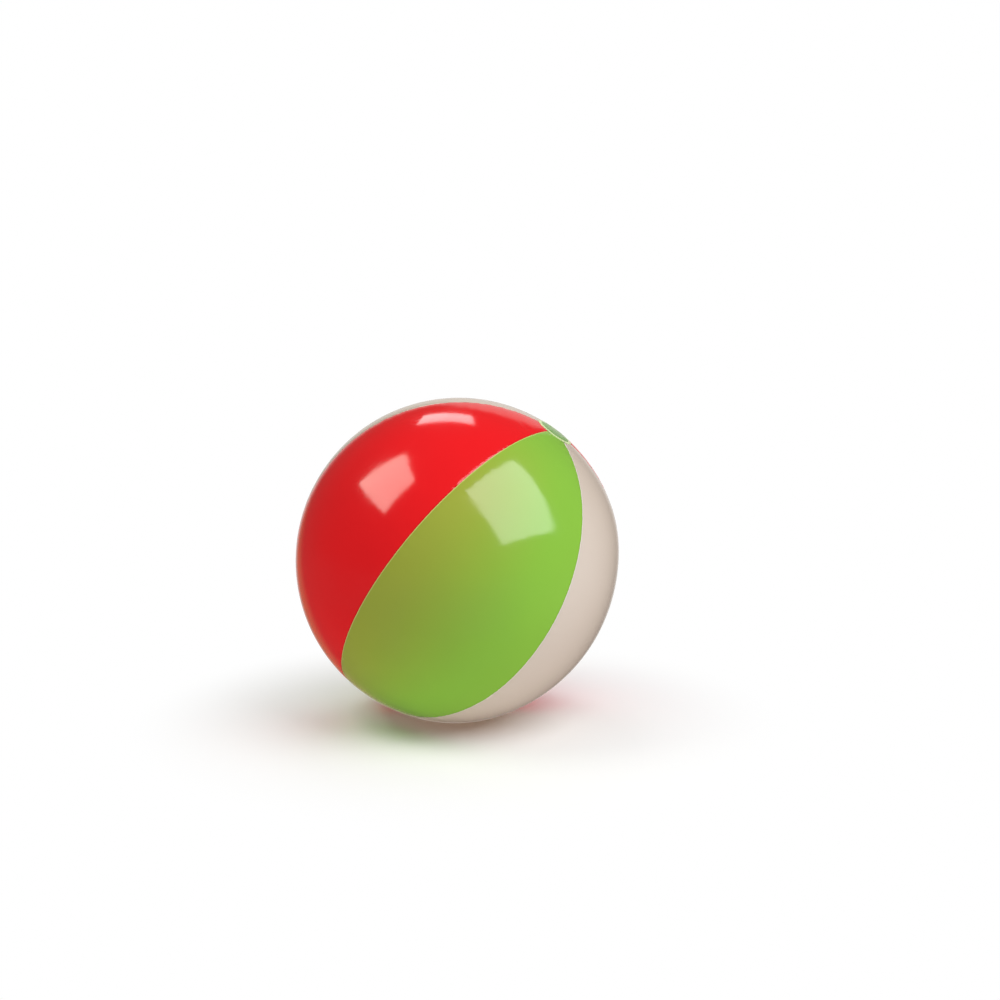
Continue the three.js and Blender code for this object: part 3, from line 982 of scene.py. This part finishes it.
def add_world():
    """White for the camera, dim and warm for everything else, with lit patches to reflect."""
    world = bpy.data.worlds.new("studio")
    bpy.context.scene.world = world
    world.use_nodes = True
    tree = world.node_tree
    link = tree.links.new

    def background(colour):
        node = tree.nodes.new("ShaderNodeBackground")
        node.inputs["Color"].default_value = (*colour, 1)
        return node

    def choose(share, first, second):
        node = tree.nodes.new("ShaderNodeMixShader")
        link(share, node.inputs[0])
        link(first.outputs[0], node.inputs[1])
        link(second.outputs[0], node.inputs[2])
        return node

    toward = tree.nodes.new("ShaderNodeTexCoord").outputs["Generated"]
    mirrored = background(ROOM_MIRRORED)
    for radiance, middle, fade_start, fade_end in BACKDROP_PATCHES:
        alignment = tree.nodes.new("ShaderNodeVectorMath")
        alignment.operation = "DOT_PRODUCT"
        link(toward, alignment.inputs[0])
        alignment.inputs[1].default_value = middle
        fade = tree.nodes.new("ShaderNodeMapRange")
        fade.interpolation_type = "SMOOTHSTEP"
        link(alignment.outputs["Value"], fade.inputs["Value"])
        fade.inputs["From Min"].default_value = math.cos(fade_end)
        fade.inputs["From Max"].default_value = math.cos(fade_start)
        mirrored = choose(fade.outputs[0], mirrored, background(radiance))

    # Each kind of ray sees its own room: camera rays white, mirrored rays the patches.
    rays = tree.nodes.new("ShaderNodeLightPath").outputs
    unseen = choose(rays["Is Glossy Ray"], background(ROOM_FILL), mirrored)
    seen = choose(rays["Is Camera Ray"], unseen, background((1, 1, 1)))
    link(seen.outputs[0], tree.nodes["World Output"].inputs["Surface"])


def add_floor():
    """A pale floor that keeps the ball's soft shadow and fades to white around it."""
    angles = [2 * math.pi * side / FLOOR_SIDES for side in range(FLOOR_SIDES)]
    points = [(FLOOR_RADIUS * math.cos(a), FLOOR_RADIUS * math.sin(a), FLOOR_LEVEL) for a in angles]
    floor = mesh_object("floor", points, [tuple(range(FLOOR_SIDES))])
    floor.visible_glossy = False
    shader = Shader("floor")
    shader.set(Base_Color=FLOOR_COLOUR, Roughness=FLOOR_ROUGHNESS, IOR=FLOOR_IOR)
    distance = shader.node("VectorMath", {0: shader.place()}, operation="LENGTH").outputs["Value"]
    fade = shader.ramp(distance, *FLOOR_FADE)
    white = shader.node("Emission", {"Color": (1, 1, 1, 1), "Strength": 1.0})
    blend = shader.node("MixShader", {0: fade, 1: shader.surface.outputs[0], 2: white.outputs[0]})
    shader.feed(shader.tree.nodes["Material Output"].inputs["Surface"], blend.outputs[0])
    floor.data.materials.append(shader.material)


# ---- building it ------------------------------------------------------------------------------

def finished(piece, material, slot, *nodes):
    """Gives a piece its material and hides the CAD nodes that it stands for; slot is not used."""
    piece.data.materials.clear()
    piece.data.materials.append(material)
    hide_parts(*nodes)
    return piece


def build_ball():
    films = {name: vinyl(name) for name in VINYLS}
    for index, (node, slot) in enumerate(GORES):
        piece = gore(node.replace("gore", "film"), index)
        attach(finished(piece, films[slot], slot, node), "ball")
    material = disc_vinyl()
    for end in ("upper", "lower"):
        piece = polar_disc("disc_film_" + end, end == "upper")
        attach(finished(piece, material, "vinyl_disc", "polar_disc_" + end), "ball")


def build_valve():
    material, slot = valve_vinyl(), "valve_vinyl"
    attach(finished(valve_flange(), material, slot, "valve_flange"), "ball")
    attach(finished(valve_stem(), material, slot, "valve_stem"), "stem")
    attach(finished(valve_plug(), material, slot, "valve_plug"), "plug")
    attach(finished(check_flap(), material, slot, "check_flap"), "flap")

    membrane = finished(valve_membrane(), material, slot, "valve_membrane")
    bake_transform(membrane)
    strap = finished(plug_strap(), material, slot, "plug_strap")
    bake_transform(strap)


add_camera()
add_world()
for lamp_name, settings in LAMPS.items():
    add_lamp(lamp_name, **settings)
add_floor()
build_ball()
build_valve()
bpy.context.scene.view_settings.view_transform = "Standard"
